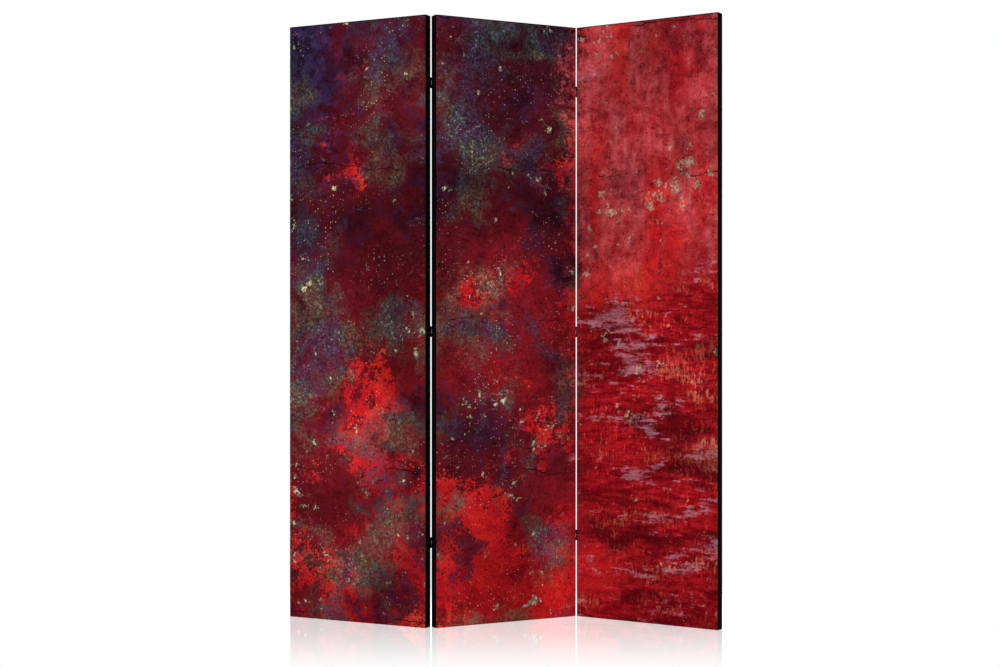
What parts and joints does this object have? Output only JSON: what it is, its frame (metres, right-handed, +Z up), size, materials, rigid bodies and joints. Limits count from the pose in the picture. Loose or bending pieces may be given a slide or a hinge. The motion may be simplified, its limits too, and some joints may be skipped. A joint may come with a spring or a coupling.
{
  "type": "folding room divider",
  "caption": "Free-standing folding screen of tall canvas-covered panels on timber frames, joined by slim two-way hinges so that it stands in a zigzag and folds flat.",
  "frame": {"origin": "on the floor, in the middle of the footprint of the screen folded as it stands at rest", "axes": "+Z up, -Y toward the viewer in front of the printed side, +X to the viewer's right"},
  "size_m": [1.2346, 0.266, 1.72],
  "materials": {
    "printed_canvas": "matt printed canvas, dark red abstract print in front, black at the edges and turned-over borders",
    "back_cover": "black non-woven cloth, matt",
    "pine": "planed pine, unfinished",
    "beech": "fluted beech dowel, unfinished",
    "staple_steel": "galvanised",
    "hinge_black": "satin black coating",
    "pin_steel": "blackened steel",
    "screw_black": "black phosphated"
  },
  "bodies": {
    "left_panel": {"left_panel_left_stile": "pine", "left_panel_right_stile": "pine", "left_panel_top_rail": "pine", "left_panel_mid_rail": "pine", "left_panel_bottom_rail": "pine", "left_panel_dowels": "beech", "left_panel_canvas": "printed_canvas", "left_panel_canvas_staples": "staple_steel", "left_panel_back_cover": "back_cover", "left_panel_cover_staples": "staple_steel", "left_lower_hinge_outer_leaf": "hinge_black", "left_mid_hinge_outer_leaf": "hinge_black", "left_upper_hinge_outer_leaf": "hinge_black", "left_front_hinge_pins": "pin_steel", "left_outer_hinge_screws": "screw_black"},
    "middle_panel": {"middle_panel_left_stile": "pine", "middle_panel_right_stile": "pine", "middle_panel_top_rail": "pine", "middle_panel_mid_rail": "pine", "middle_panel_bottom_rail": "pine", "middle_panel_dowels": "beech", "middle_panel_canvas": "printed_canvas", "middle_panel_canvas_staples": "staple_steel", "middle_panel_back_cover": "back_cover", "middle_panel_cover_staples": "staple_steel", "left_lower_hinge_inner_leaf": "hinge_black", "left_mid_hinge_inner_leaf": "hinge_black", "left_upper_hinge_inner_leaf": "hinge_black", "right_lower_hinge_inner_leaf": "hinge_black", "right_mid_hinge_inner_leaf": "hinge_black", "right_upper_hinge_inner_leaf": "hinge_black", "left_back_hinge_pins": "pin_steel", "left_inner_hinge_screws": "screw_black", "right_front_hinge_pins": "pin_steel", "right_inner_hinge_screws": "screw_black"},
    "right_panel": {"right_panel_left_stile": "pine", "right_panel_right_stile": "pine", "right_panel_top_rail": "pine", "right_panel_mid_rail": "pine", "right_panel_bottom_rail": "pine", "right_panel_dowels": "beech", "right_panel_canvas": "printed_canvas", "right_panel_canvas_staples": "staple_steel", "right_panel_back_cover": "back_cover", "right_panel_cover_staples": "staple_steel", "right_lower_hinge_outer_leaf": "hinge_black", "right_mid_hinge_outer_leaf": "hinge_black", "right_upper_hinge_outer_leaf": "hinge_black", "right_back_hinge_pins": "pin_steel", "right_outer_hinge_screws": "screw_black"},
    "left_link": {"left_lower_hinge_centre_leaf": "hinge_black", "left_mid_hinge_centre_leaf": "hinge_black", "left_upper_hinge_centre_leaf": "hinge_black"},
    "right_link": {"right_lower_hinge_centre_leaf": "hinge_black", "right_mid_hinge_centre_leaf": "hinge_black", "right_upper_hinge_centre_leaf": "hinge_black"}
  },
  "joints": [
    {"name": "left_back_fold", "type": "hinge", "parent": "middle_panel", "child": "left_link", "pos_m": [-0.19837, -0.07231, 0.831], "axis": [0, 0, -1], "range_deg": [-53, 127]},
    {"name": "left_front_fold", "type": "hinge", "parent": "left_link", "child": "left_panel", "pos_m": [-0.21179, -0.09982, 0.831], "axis": [0, 0, 1], "range_deg": [0, 90]},
    {"name": "right_front_fold", "type": "hinge", "parent": "middle_panel", "child": "right_link", "pos_m": [0.21879, 0.1059, 0.831], "axis": [0, 0, -1], "range_deg": [-59, 121]},
    {"name": "right_back_fold", "type": "hinge", "parent": "right_link", "child": "right_panel", "pos_m": [0.23501, 0.13185, 0.831], "axis": [0, 0, 1], "range_deg": [0, 90]}
  ]
}
